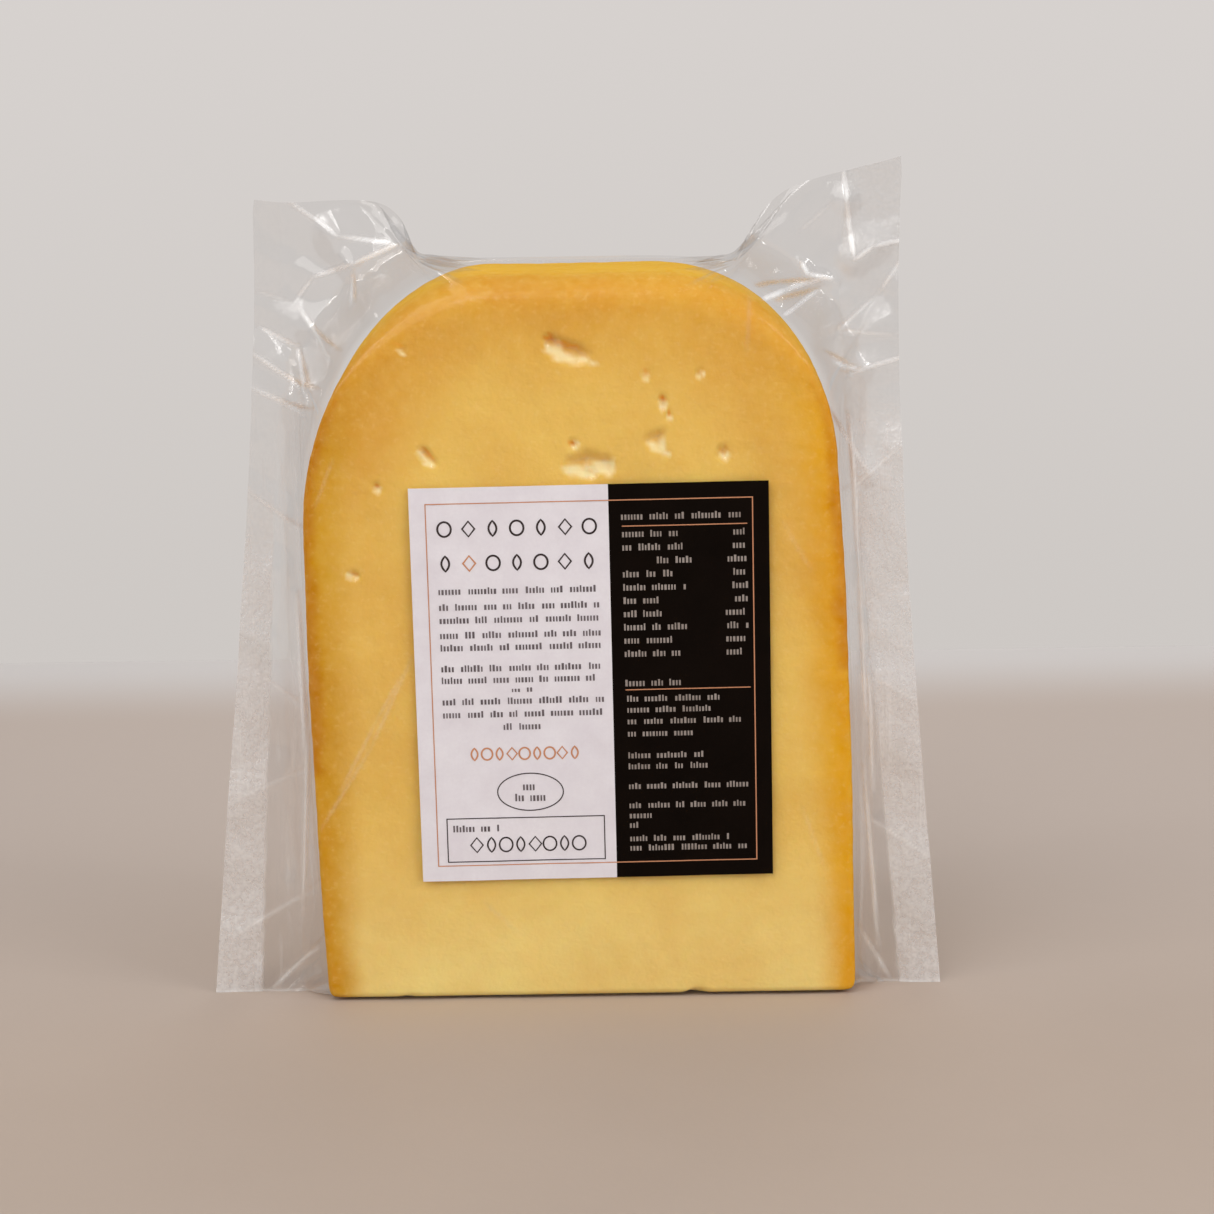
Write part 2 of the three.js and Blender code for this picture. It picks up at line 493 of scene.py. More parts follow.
def depth_under_rind():
    """Distance to the rind. Low down only the two sides count, because the nose was cut off."""
    x, height = cheese_points[..., 0], cheese_points[..., 2] - lift
    to_side = np.minimum(x - side_at(height, -1), side_at(height, 1) - x)
    return np.where(height < SIDES_COUNT_BELOW, to_side, -rind_distance)


def make_cheese():
    rows, columns = cheese_points.shape[:2]
    faces = grid_faces(rows, columns, closed=True).tolist()
    faces.append(list(range(columns))[::-1])
    faces.append(list(range((rows - 1) * columns, rows * columns)))
    piece = mesh_object("cheese", cheese_points, faces)
    store(piece, "under_rind", depth_under_rind())
    store(piece, "cut_face", np.abs(ring_side))
    # masks for the shade and the highlight painted in the hollows
    store(piece, "throat_shade", throat_shades)
    store(piece, "lip_highlight", lip_highlights)
    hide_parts("cheese_wedge")
    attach(piece, "root")
    return piece


cheese = make_cheese()
print("cheese has", len(cheese.data.polygons), "faces")

# %% [markdown]
# ## The pouch's seam
#
# The two webs meet in the plane y = 0, in a line that goes up the left side, over the ears and the rim
# and down the right side. The sides are pulled in where the wedge is thick. At each top corner slack
# film stands up as an ear, and between the ears the seam lies tight along the rim.

# %% Seam curves
pouch_half = film_high[0]
left_ear = film_low[2] + 121.0
right_ear = film_high[2]
ridge = cheese_high[2] + 1.4
LEFT_EAR_STARTS, RIGHT_EAR_STARTS = 22.4, 25.2  # either side of the middle

left_side = bezier((-pouch_half, 0), (-51.5, 45), (-45.6, 92), (-46.1, left_ear))
right_side = bezier((pouch_half, 0), (52.2, 42), (47.4, 92), (49.8, right_ear))
left_top = np.vstack([
    bezier((-LEFT_EAR_STARTS, ridge), (-22.6, 115.0), (-24.0, 119.8), (-28.6, 120.4)),
    bezier((-28.6, 120.4), (-34, 121.2), (-40, 119.8), (-46.1, left_ear)),
])
right_top = np.vstack([
    bezier((RIGHT_EAR_STARTS, ridge - 1), (26.4, 114.0), (28.6, 119.4), (33.4, 121.6)),
    bezier((33.4, 121.6), (38, 123.6), (44, 124.2), (49.8, right_ear)),
])
base_line = np.linspace([-pouch_half, 0], [pouch_half, 0], 24, endpoint=False)
top_line = np.vstack([right_top[::-1], left_top])
pouch = evenly(np.vstack([base_line, right_side, top_line, left_side[::-1]]), 260)
pouch_field = DistanceField(pouch)
print("ears at", left_ear.round(1), "and", right_ear.round(1), "mm")

# %% [markdown]
# ## Drawing the film tight
#
# Each web starts as a flat sheet, folded once under the nose. Vacuum pushes every point inwards while
# three rules hold: a link between neighbours never gets longer, no point enters the cheese, and the
# webs do not pass through each other. Repeating these rules is what a cloth solver does. Blender's own
# would do it too, but it keeps cloth about a millimetre off what it touches, and this film hugs the
# cheese closer than that. A coarse sheet settles first, and each finer one starts from it.

# %% Sheets of film
FILM_OFF = 0.4  # the film lies this far off the cheese
WEB_GAP = 0.12  # and no nearer than this to the seam's plane, where the webs meet
FLAT_LEFT, FLAT_RIGHT = 62.0, 63.0  # the pouch laid flat, either side of the middle
FLAT_HEIGHT = 133.8
TAKEN_IN = 0.16  # less film towards the top corners, or the slack would roll up there
SHRINK = 0.93  # drawn film ends in tension everywhere, as if cut a little small


def flat_sheet(step):
    """Where each point of a web is on the flat pouch: across, and up from the fold under the nose."""
    across = np.linspace(-FLAT_LEFT, FLAT_RIGHT, int((FLAT_LEFT + FLAT_RIGHT) / step) + 1)
    up = np.linspace(0, 1, int(FLAT_HEIGHT / step) + 1)
    across, up = np.meshgrid(across, up, indexing="ij")
    corner = smooth_step(np.abs(across), 22, 56)
    taken_in = 1 - TAKEN_IN * smooth_step(up, 0.6, 0.97) * smooth_step(np.abs(across), 8, 30)
    return across * taken_in, up * (FLAT_HEIGHT - np.where(across < 0, 12.6, 7.6) * corner)


def folded_round(across, up):
    """Both webs as flat sheets in front of and behind the cheese, not yet drawn in."""
    base = nose_half + FILM_OFF
    rise = np.maximum(up - base, 0)
    y = -np.minimum(up, base) - rise * math.sin(lean) - 0.6
    front = np.stack([across, y, rise * math.cos(lean)], -1)
    return np.stack([front, front * [1, -1, 1]])


def along_line(line, t):
    """Points of a line at shares t of its length."""
    run = np.r_[0, np.cumsum(np.linalg.norm(np.diff(line, axis=0), axis=1))]
    return np.stack([np.interp(np.clip(t, 0, 1) * run[-1], run, column) for column in line.T], -1)


def seam_top(across):
    """x and z of the top of the seam. The ridge falls a millimetre on its way to the right ear."""
    places = np.zeros((len(across), 2))
    places[:, 0] = across
    places[:, 1] = ridge - np.clip((across - 10) / 15.2, 0, 1) ** 2
    ears = ((left_top, LEFT_EAR_STARTS, FLAT_LEFT, -1), (right_top, RIGHT_EAR_STARTS, FLAT_RIGHT, 1))
    for line, start, end, side in ears:
        on_ear = side * across > start
        t = (side * across[on_ear] - start) / (end - start)
        places[on_ear] = along_line(line, t)
    return places


sample = flat_sheet(3.0)
print("a coarse web has", sample[0].size, "points")

# %% Rules for a tight sheet
# steps along and up the grid from a point to the one it is linked to
LINKS = [(1, 0, "pull"), (0, 1, "pull"), (1, 1, "pull"), (1, -1, "pull"), (2, 0, "bend"), (0, 2, "bend")]


def link_passes(across, up):
    """Pairs of neighbours as slices, in sets that share no point, with each pair's flat distance."""
    flat = np.stack([across, up], -1)
    rows, columns = across.shape
    passes = []
    for di, dj, kind in LINKS:
        span = max(abs(di), abs(dj))
        for start in range(2 * span if kind == "bend" else 2):
            step = 2 * span
            if di:
                a = (slice(start, rows - di, step), slice(max(0, -dj), columns - max(0, dj)))
                b = (slice(start + di, rows, step), slice(max(0, dj), columns - max(0, -dj)))
            else:
                a = (slice(0, rows), slice(start, columns - dj, step))
                b = (slice(0, rows), slice(start + dj, columns, step))
            length = np.linalg.norm(flat[b] - flat[a], axis=-1)
            shrunk = length * (SHRINK if kind == "pull" else 1)
            passes.append(((slice(None), *a), (slice(None), *b), shrunk[None, ..., None], kind))
    return passes


def off_cheese(points):
    """How far points are off the cheese, and the direction away from it. An edge counts as rounded."""
    x, y, height = points[..., 0], points[..., 1], points[..., 2] - lift
    sine = np.clip(y / (nose_radius + height), -0.6, 0.6)
    cosine = np.sqrt(1 - sine**2)
    from_outline, slope_x, slope_h = field.read(x, height / cosine)
    from_face = np.abs(y) * math.cos(lean) - (height + nose_radius) * math.sin(lean)
    worn = EDGE_ROUND * edge_wear(height)
    a, b = np.maximum(from_face + worn, 0), np.maximum(from_outline + worn, 0)
    reach = np.hypot(a, b) + 1e-9
    corner = (a > 0) & (b > 0)
    nearest = np.maximum(from_face, from_outline) + worn
    distance = np.where(corner, reach, nearest) - worn
    face = np.where(corner, a / reach, from_face > from_outline)
    rim = np.where(corner, b / reach, from_face <= from_outline)
    side = np.where(y < 0, -1, 1)
    away = [
        rim * slope_x,
        face * side * math.cos(lean) + rim * slope_h * sine,
        -face * math.sin(lean) + rim * slope_h * cosine,
    ]
    return distance, np.stack(away, -1)


def keep_off_cheese(webs):
    """Moves points out of the cheese, to FILM_OFF above it."""
    distance, away = off_cheese(webs)
    webs += np.maximum(FILM_OFF - distance, 0)[..., None] * away


def keep_together(webs, hold):
    """The webs don't cross, and beyond the cheese they settle into the seam's plane."""
    front, back = webs
    crossed = np.maximum(front[..., 1] - back[..., 1] + 2 * WEB_GAP, 0) / 2
    front[..., 1] -= crossed
    back[..., 1] += crossed
    middle = (front[..., 1] + back[..., 1]) / 2
    beyond, _, _ = field.read((front[..., 0] + back[..., 0]) / 2, front[..., 2] - lift)
    shift = -hold * np.clip((beyond - 0.5) / 6, 0, 1) * middle
    front[..., 1] += shift
    back[..., 1] += shift


def keep_in_pouch(webs):
    """Nothing stands out past the seam."""
    outside, slope_x, slope_z = pouch_field.read(webs[..., 0], webs[..., 2])
    outside = np.maximum(outside - 0.1, 0)
    webs[..., 0] -= outside * slope_x
    webs[..., 2] -= outside * slope_z


def pin_seam(webs, edges, hold):
    """Draws the four edges of both webs to the seam."""
    for web, side in zip(webs, (-1, 1)):
        for edge, line in edges:
            target = np.stack([line[:, 0], np.full(len(line), side * WEB_GAP), line[:, 1]], -1)
            web[edge] += hold * (target - web[edge])


def seam_edges(across, up):
    """Each edge of the grid with the line in x and z that it is drawn to."""
    t = np.linspace(0, 1, across.shape[1])
    flat_base = [-FLAT_LEFT, cheese_low[0], cheese_high[0], FLAT_RIGHT]
    base = np.interp(across[:, 0], flat_base, [-pouch_half, cheese_low[0], cheese_high[0], pouch_half])
    return [
        ((0, slice(None)), along_line(left_side, t)),
        ((-1, slice(None)), along_line(right_side, t)),
        ((slice(None), -1), seam_top(across[:, 0])),
        ((slice(None), 0), np.stack([base, np.full(len(base), 0.03)], -1)),
    ]


print("rules: links, cheese, webs, seam")

# %% Draw the vacuum
def inward_normals(webs):
    """Unit normals towards the cheese."""
    along, over = np.gradient(webs, axis=1), np.gradient(webs, axis=2)
    normal = np.cross(along, over)
    normal /= np.linalg.norm(normal, axis=-1, keepdims=True) + 1e-9
    normal[0] *= -1
    return normal


def tighten(webs, across, up, steps, push, first_hold):
    """Lets the webs settle under vacuum. They start to close gently, by first_hold, and end closed."""
    passes, edges = link_passes(across, up), seam_edges(across, up)
    before = webs.copy()
    for step in range(steps):
        drift = np.clip((webs - before) * 0.9, -0.5, 0.5)
        before = webs.copy()
        webs = webs + drift + push * inward_normals(webs)
        hold = first_hold + (1 - first_hold) * min(1, 1.5 * step / steps)
        for _ in range(2):
            for a, b, length, kind in passes:
                apart = webs[b] - webs[a]
                now = np.sqrt((apart**2).sum(-1, keepdims=True)) + 1e-9
                over = now - length
                if kind == "pull":
                    share = np.where(over > 0, 0.5, 0.02)
                else:
                    share = np.where(over > 0, 0, 0.12)
                move = apart * (share * over / now)
                webs[a] += move
                webs[b] -= move
            keep_off_cheese(webs)
            keep_together(webs, 0.2)
            if hold > 0.9:
                keep_in_pouch(webs)
            pin_seam(webs, edges, hold)
            webs[..., 2] = np.maximum(webs[..., 2], 0)
    return webs


def refined(webs, across, up):
    """The webs read at the points of a finer grid."""
    for axis, size in ((1, across.shape[0]), (2, across.shape[1])):
        count = webs.shape[axis]
        place = np.linspace(0, count - 1, size)
        low = np.minimum(place.astype(int), count - 2)
        share = (place - low).reshape([-1 if a == axis else 1 for a in range(4)])
        webs = np.take(webs, low, axis) * (1 - share) + np.take(webs, low + 1, axis) * share
    return webs


def vacuum_pack():
    """Both webs, drawn tight on finer and finer grids."""
    stages = [(3.0, 260, 0.03, 0.01), (1.5, 160, 0.016, 1)]
    stages.append((0.86, 90, 0.01, 1))
    webs = None
    for step, steps, push, first_hold in stages:
        across, up = flat_sheet(step)
        webs = folded_round(across, up) if webs is None else refined(webs, across, up)
        webs = tighten(webs, across, up, steps, push, first_hold)
        print(f"{step} mm grid settled, {across.size} points a web")
    return webs


webs = vacuum_pack()

# %% [markdown]
# ## Creases
#
# Slack film does not bend everywhere. It folds along a few straight lines that run out from the
# cheese's shoulders, with flat facets between them, like folded paper. Each crease here is a long, low
# tent laid over both webs at once: its ridge line catches the light and its two slopes tilt the facets.
# Listing them one by one gives fewer and cleaner folds than a simulation would.

# %% Where the creases are
# the two ends of the ridge (x, z), how far it stands towards the front, the reach of its slopes
CREASES = [
    # left ear
    ((-41.0, 121.0), (-33.3, 115.5), 1.3, 5.0),
    ((-33.3, 115.5), (-24.8, 114.2), 1.1, 4.0),
    ((-24.8, 114.1), (-31.2, 111.5), 0.9, 2.6),
    ((-31.2, 111.5), (-37.5, 109.4), 1.0, 3.4),
    ((-39.6, 104.9), (-34.4, 97.6), 0.9, 4.0),
    ((-46.8, 98.4), (-37.8, 92.0), 1.1, 3.2),
    ((-47.2, 93.3), (-38.6, 89.3), 0.9, 3.0),
    ((-37.5, 109.4), (-40.4, 105.6), -0.7, 4.0),
    ((-46.6, 107.6), (-40.4, 105.6), -0.6, 5.0),
    ((-45.9, 102.2), (-40.0, 99.0), -0.7, 2.6),
    ((-40.0, 99.4), (-38.8, 92.4), -0.6, 2.2),
    ((-31.4, 110.4), (-31.6, 105.4), 0.35, 1.6),
    # down the left side
    ((-48.6, 78.0), (-39.4, 71.0), 0.5, 3.2),
    ((-50.6, 52.0), (-40.0, 44.0), -0.45, 4.0),
    ((-52.8, 30.0), (-39.8, 35.5), 0.4, 4.2),
    ((-52.6, 9.0), (-39.2, 17.0), 0.5, 4.4),
    ((-47.0, 0.5), (-39.0, 8.0), -0.5, 3.0),
    # right ear
    ((41.0, 124.0), (41.4, 119.4), 0.8, 2.2),
    ((41.4, 119.4), (42.5, 110.8), 0.7, 2.4),
    ((42.4, 110.8), (45.4, 112.9), 0.8, 3.0),
    ((45.4, 112.9), (50.8, 113.8), 0.8, 3.4),
    ((34.2, 114.8), (39.6, 119.5), 0.35, 3.0),
    ((27.9, 105.9), (31.8, 107.3), 0.8, 1.7),
    ((31.8, 107.3), (37.4, 108.0), 0.8, 1.9),
    ((31.0, 103.6), (37.4, 106.6), -0.7, 1.9),
    ((34.8, 110.6), (35.6, 108.9), 0.5, 1.2),
    ((35.6, 108.9), (39.4, 108.0), 0.5, 1.3),
    ((50.9, 112.6), (46.2, 105.6), -0.7, 3.6),
    ((46.2, 105.6), (39.4, 99.8), -0.5, 3.0),
    ((38.9, 96.6), (43.4, 94.5), 0.6, 2.0),
    ((41.0, 94.0), (51.0, 96.6), 0.8, 3.0),
    ((39.8, 100.4), (49.4, 99.4), 0.4, 3.0),
    # down the right side
    ((38.6, 89.0), (44.6, 79.2), 0.5, 2.2),
    ((50.6, 84.0), (41.0, 76.0), 0.5, 3.6),
    ((51.4, 63.0), (42.4, 58.0), -0.4, 4.0),
    ((52.6, 44.0), (43.0, 49.0), 0.4, 4.0),
    ((53.8, 20.0), (43.4, 27.0), 0.45, 4.4),
    ((48.0, 0.5), (43.2, 9.0), -0.5, 3.0),
    # long upright folds beside the cheese, right and then left
    ((41.8, 88.0), (43.4, 62.0), 0.3, 1.3),
    ((43.2, 66.0), (44.2, 42.0), 0.3, 1.2),
    ((44.6, 52.0), (45.2, 30.0), 0.3, 1.3),
    ((43.9, 34.0), (46.0, 6.0), 0.35, 1.6),
    ((-41.2, 62.0), (-40.6, 38.0), 0.3, 1.3),
    ((-40.2, 40.0), (-41.8, 12.0), 0.3, 1.5),
]
# fine wrinkles of the front web where it lies on the cut face
WRINKLES = [
    ((-38.0, 27.6), (-30.2, 40.0), 0.10, 0.7),
    ((-30.2, 40.0), (-23.6, 54.0), 0.10, 0.7),
    ((-34.8, 33.6), (-29.0, 44.6), 0.08, 0.6),
    ((-29.0, 44.6), (-25.4, 51.0), 0.08, 0.6),
    ((26.5, 107.0), (26.0, 99.0), 0.06, 0.6),
    ((-37.0, 77.0), (-34.2, 84.0), 0.06, 0.6),
    ((34.0, 30.0), (37.6, 20.0), 0.06, 0.7),
    ((-14.0, 16.0), (-9.0, 11.0), 0.06, 0.7),
    ((31.0, 74.0), (35.5, 66.0), 0.05, 0.6),
]
CREASE_ROUND = 0.28  # how blunt a ridge is
RIDGE_WIDTH = 0.3  # of the painted highlight line along a sharp fold
POCKETS_PRESSED = 0.8  # how flat the vacuum presses the air between the webs
SUCKED_IN = 0.85  # how far the film goes into a hollow, against the list
PUCKERS = 0.035  # small puckers of the film on the cut faces


def crease_shift(x, z, creases):
    """How far all the creases together stand out, in mm, and how strong a highlight is painted along
    each ridge, 0 to 1.
    """
    total, ridge_highlights = np.zeros(x.shape), np.zeros(x.shape)
    for (x0, z0), (x1, z1), height, reach in creases:
        length = math.hypot(x1 - x0, z1 - z0)
        ux, uz = (x1 - x0) / length, (z1 - z0) / length
        along = (x - x0) * ux + (z - z0) * uz
        past = np.maximum(np.maximum(-along, along - length), 0)
        away = np.hypot(-(x - x0) * uz + (z - z0) * ux, past)
        total += height * np.maximum(1 - (np.hypot(away, CREASE_ROUND) - CREASE_ROUND) / reach, 0)
        sharp = abs(height) / reach * 3.2 * np.exp(-((away / RIDGE_WIDTH) ** 2))
        taper = smooth_step(along / length, -0.05, 0.3) * smooth_step(1 - along / length, -0.05, 0.3)
        ridge_highlights = np.maximum(ridge_highlights, sharp * (0.35 + 0.65 * taper))
    return total, np.clip(ridge_highlights, 0, 1)


print(len(CREASES), "creases")

# %% Fold the film
def smooth_finer(webs, times=2):
    """The webs on a grid with twice as many cells each way, through a smooth curve."""
    for axis in (1, 2):
        count = webs.shape[axis]
        place = np.linspace(0, count - 1, (count - 1) * times + 1)
        low = np.minimum(place.astype(int), count - 2)
        t = (place - low).reshape([-1 if a == axis else 1 for a in range(4)])
        p = [np.take(webs, np.clip(low + k, 0, count - 1), axis) for k in (-1, 0, 1, 2)]
        slope_a, slope_b = (p[2] - p[0]) / 2, (p[3] - p[1]) / 2
        webs = (
            p[1] * (2 * t**3 - 3 * t**2 + 1)
            + slope_a * (t**3 - 2 * t**2 + t)
            + p[2] * (3 * t**2 - 2 * t**3)
            + slope_b * (t**3 - t**2)
        )
    return webs


def settle(webs, rounds=3):
    """Evens out the grid's own small steps."""
    for _ in range(rounds):
        inner = webs[:, 1:-1, 1:-1]
        around = webs[:, :-2, 1:-1] + webs[:, 2:, 1:-1] + webs[:, 1:-1, :-2] + webs[:, 1:-1, 2:]
        inner += 0.5 * (around / 4 - inner)
    return webs


def fold(webs):
    """Creases and soft buckles beyond the cheese, hollows and wrinkles on it."""
    x, z = webs[..., 0], webs[..., 2]
    beyond, _, _ = field.read(x, z - lift)
    free = smooth_step(beyond, 0.6, 3.0)
    middle = webs[..., 1].mean(0)
    webs[..., 1] += POCKETS_PRESSED * smooth_step(beyond, 1.5, 8) * (middle - webs[..., 1])
    place = np.stack([x, z], -1)
    buckle = 0.35 * soft_waves(place, 11, 21) + 0.1 * soft_waves(place, 4, 22)
    webs[..., 1] -= free * (crease_shift(x, z, CREASES)[0] + buckle)
    on_face = smooth_step(-beyond, 0.5, 2.0)
    height = (z - lift) / math.cos(lean)
    for side, (hollows, inwards) in enumerate(((FRONT_HOLLOWS, 1), (BACK_HOLLOWS, -1))):
        web = webs[side]
        sucked = SUCKED_IN * hollow_shapes(web[..., 0], height[side], hollows)[0]
        puckers = PUCKERS * soft_waves(np.stack([web[..., 0] * 1.6, web[..., 2]], -1), 2.2, 23)
        web[..., 1] += inwards * on_face[side] * (sucked + np.abs(puckers) * 0.6)
    webs[0, ..., 1] -= on_face[0] * crease_shift(x[0], z[0], WRINKLES)[0]
    return webs


folded = fold(settle(smooth_finer(webs)))
print("each web has", folded.shape[1] * folded.shape[2], "points")

# %% [markdown]
# The side margins are welded with a textured bar. The width of the weld varies, because the pouch was
# not laid in the machine quite straight. A number on each point says where the weld is. Two more say
# where a white highlight is painted along the folds and where the film clings to the cheese.

# %% Where the webs are welded
def weld_mask(x, z):
    """1 inside the welded strips, 0 elsewhere. The left weld fades towards its ear, and the right one
    is fainter over a stretch just below its ear."""
    left_edge = np.interp(z, left_side[:, 1], left_side[:, 0])
    right_edge = np.interp(z, right_side[:, 1], right_side[:, 0])
    left_width = np.interp(z, [0, 75, 121], [7.1, 4.0, 4.2])
    right_width = np.interp(z, [0, 60, 104, 126], [6.2, 6.6, 8.8, 8.1])
    left = smooth_step(left_edge + left_width - x, -0.15, 0.15) * (1 - 0.85 * smooth_step(z, 62, 84))
    right = smooth_step(x - (right_edge - right_width), -0.15, 0.15)
    right = right * (1 - 0.7 * smooth_step(z, 86, 92) * (1 - smooth_step(z, 110.5, 113.5)))
    return np.maximum(left, right)


def make_web(name, node, points, faces, hollows, wrinkles):
    """One web, with numbers for its weld, the highlight painted along its folds and its bottom edge, and
    where it clings to the cheese.
    """
    piece = mesh_object(name, points, faces)
    x, z = points[..., 0], points[..., 2]
    store(piece, "weld", weld_mask(x, z))
    outside = smooth_step(field.read(x, z - lift)[0], 0.2, 1.0)
    # a highlight painted along the creases, fainter along the wrinkles on the cut face
    ridge_highlights = crease_shift(x, z, CREASES)[1] * outside
    ridge_highlights += 0.5 * crease_shift(x, z, wrinkles)[1] * (1 - outside)
    # and a bright line painted where the film rests on the table
    resting = 1 - smooth_step(z, 0.1, 0.7)
    store(piece, "crease_highlight", np.maximum(ridge_highlights, 0.35 * resting * outside))
    touching = 1 - smooth_step(off_cheese(points)[0] - FILM_OFF, 0.1, 0.9)
    bridged = hollow_shapes(x, (z - lift) / math.cos(lean), hollows)[0]
    store(piece, "clinging", touching * (1 - smooth_step(bridged, 0.15, 0.8)))
    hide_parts(node)
    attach(piece, "root")
    return piece


web_faces = grid_faces(*folded.shape[1:3])
front_web = make_web("front_web", "front_film", folded[0], web_faces, FRONT_HOLLOWS, WRINKLES)
back_web = make_web("back_web", "back_film", folded[1], web_faces[:, ::-1], BACK_HOLLOWS, [])
print("webs have", len(front_web.data.polygons), "faces each")

# %% [markdown]
# ## The label
#
# The label is a printed sheet of paper on the front web, part white and part black. Its print is laid
# out in columns as on any food label, but it says nothing: the rows are small upright bars in groups
# the size of words, and the headings are line ornaments. Ink is modelled as a layer of its own, a few
# hundredths of a millimetre proud, so that its edges stay crisp at any distance and no picture file is
# needed.

# %% The label's sheet
# the CAD label's size, its centre across and up the face, and its small turn
LABEL_WIDTH, LABEL_HEIGHT = 52.5, 60.5
LABEL_CENTRE = (3.1, 49.3)
LABEL_TURN = math.radians(0.5)
WHITE_WIDTH = 29.1
PAPER_BACK, PAPER_FRONT, INK = 0.56, 0.76, 0.035  # above the cheese, and above the paper


def on_label(u, v, off):
    """A point of the label: u from its left edge, v down from its top edge, off the cut face."""
    across, up = u - LABEL_WIDTH / 2, LABEL_HEIGHT / 2 - v
    x = LABEL_CENTRE[0] + across * math.cos(LABEL_TURN) - up * math.sin(LABEL_TURN)
    height = LABEL_CENTRE[1] + across * math.sin(LABEL_TURN) + up * math.cos(LABEL_TURN)
    place = np.stack(np.broadcast_arrays(x, height), -1).astype(float)
    cockle = 0.05 * soft_waves(place, 8, 31) + 0.02 * soft_waves(place, 2.5, 32)
    return at(x, height, -1, off + cockle)


def make_label_paper():
    """A thin closed sheet, white to the left of WHITE_WIDTH and black to the right."""
    u = np.r_[np.linspace(0, WHITE_WIDTH, 50), np.linspace(WHITE_WIDTH, LABEL_WIDTH, 41)[1:]]
    u, v = np.meshgrid(u, np.linspace(0, LABEL_HEIGHT, 104), indexing="ij")
    front, back = on_label(u, v, PAPER_FRONT), on_label(u, v, PAPER_BACK)
    faces = grid_faces(*u.shape)
    count = u.size
    number = np.arange(count).reshape(u.shape)
    border = np.concatenate([number[:, 0], number[-1, 1:], number[-2::-1, -1], number[0, -2:0:-1]])
    ahead = np.roll(border, -1)
    rim = np.stack([border, border + count, ahead + count, ahead], -1)
    rows = np.vstack([faces[:, ::-1], faces + count, rim[:, ::-1]])
    piece = mesh_object("label_paper", np.stack([front, back]), rows, smooth=False)
    middle = np.array([p.center[0] for p in piece.data.polygons]) / MM - LABEL_CENTRE[0]
    black = middle > WHITE_WIDTH - LABEL_WIDTH / 2
    piece.data.polygons.foreach_set("material_index", black.astype(int))
    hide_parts("front_label")
    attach(piece, "root")
    return piece


label_paper = make_label_paper()
print("label", LABEL_WIDTH, "x", LABEL_HEIGHT, "mm, CAD box", (label_high - label_low).round(1))

# %% Ink helpers
class Ink:
    """Collects printed shapes of one colour and makes them one mesh."""

    def __init__(self):
        self.points, self.faces = [], []

    def quad(self, corners):
        start = len(self.points)
        self.points += [tuple(on_label(u, v, PAPER_FRONT + INK)) for u, v in corners]
        self.faces.append([start, start + 1, start + 2, start + 3])

    def bar(self, u0, v0, u1, v1, piece=3.0):
        """A filled rectangle, cut into short pieces so that it follows the paper."""
        parts = max(1, math.ceil(max(u1 - u0, v1 - v0) / piece))
        for k in range(parts):
            a, b = k / parts, (k + 1) / parts
            if u1 - u0 >= v1 - v0:
                left, right = u0 + (u1 - u0) * a, u0 + (u1 - u0) * b
                self.quad([(left, v1), (right, v1), (right, v0), (left, v0)])
            else:
                top, base = v0 + (v1 - v0) * a, v0 + (v1 - v0) * b
                self.quad([(u0, base), (u1, base), (u1, top), (u0, top)])

    def loop(self, corners, width):
        """An outline of even width along a closed line, drawn clockwise as seen."""
        line = np.array(corners, float)
        along = np.roll(line, -1, 0) - np.roll(line, 1, 0)
        along /= np.linalg.norm(along, axis=1, keepdims=True)
        side = np.stack([along[:, 1], -along[:, 0]], -1) * width / 2
        outer, inner = line + side, line - side
        for k in range(len(line)):
            n = (k + 1) % len(line)
            self.quad([inner[k], inner[n], outer[n], outer[k]])

    def frame(self, u0, v0, u1, v1, width):
        """A rectangular rule."""
        half = width / 2
        self.bar(u0 - half, v0 - half, u1 + half, v0 + half)
        self.bar(u0 - half, v1 - half, u1 + half, v1 + half)
        self.bar(u0 - half, v0 + half, u0 + half, v1 - half)
        self.bar(u1 - half, v0 + half, u1 + half, v1 - half)

    def piece(self, name):
        made = mesh_object(name, np.array(self.points), self.faces, smooth=False)
        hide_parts("front_label")
        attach(made, "root")
        return made


def ellipse(u, v, half_width, half_height, count=28):
    turn = np.linspace(0, 2 * math.pi, count, endpoint=False)
    return np.stack([u + half_width * np.sin(turn), v - half_height * np.cos(turn)], -1)


print("ink stands", INK, "mm proud")

# %% Words without letters
words = np.random.default_rng(41)


def word_row(ink, u0, u1, v, size=0.78, stroke=0.3, gap=0.21):
    """A row of words from u0 to u1 with its middle at v, each word a run of small upright bars."""
    u = u0
    while u < u1 - stroke:
        letters = words.integers(3, 10)
        for _ in range(letters):
            if u > u1 - stroke:
                break
            tall = 1.3 if words.random() < 0.25 else 1.0
            wide = stroke * words.uniform(0.7, 1.15)
            ink.bar(u, v + size / 2 - size * tall, u + wide, v + size / 2)
            u += wide + gap
        u += words.uniform(0.7, 1.0)


ORNAMENTS = ("ring", "diamond", "petal", "ring", "petal", "diamond", "ring", "petal")


def ornament_row(ink, u0, u1, v, height, count, width=0.3, start=0, accent=None, accent_at=-1):
    """Small line ornaments, evenly spaced. One may be in the accent ink."""
    half = height / 2
    step = (u1 - u0 - height) / (count - 1)
    for k in range(count):
        u = u0 + half + step * k
        kind = ORNAMENTS[(k + start) % len(ORNAMENTS)]
        if kind == "ring":
            line = ellipse(u, v, half * 0.86, half * 0.96, 24)
        elif kind == "diamond":
            line = [(u, v - half), (u + half * 0.8, v), (u, v + half), (u - half * 0.8, v)]
        else:
            bow = np.linspace(-1, 1, 9)[:-1]
            lens = np.stack([half * 0.5 * (1 - bow**2), half * bow], -1)
            line = np.vstack([lens, -lens]) + [u, v]
        (accent if k == accent_at else ink).loop(line, width)


print(len(ORNAMENTS), "ornaments")

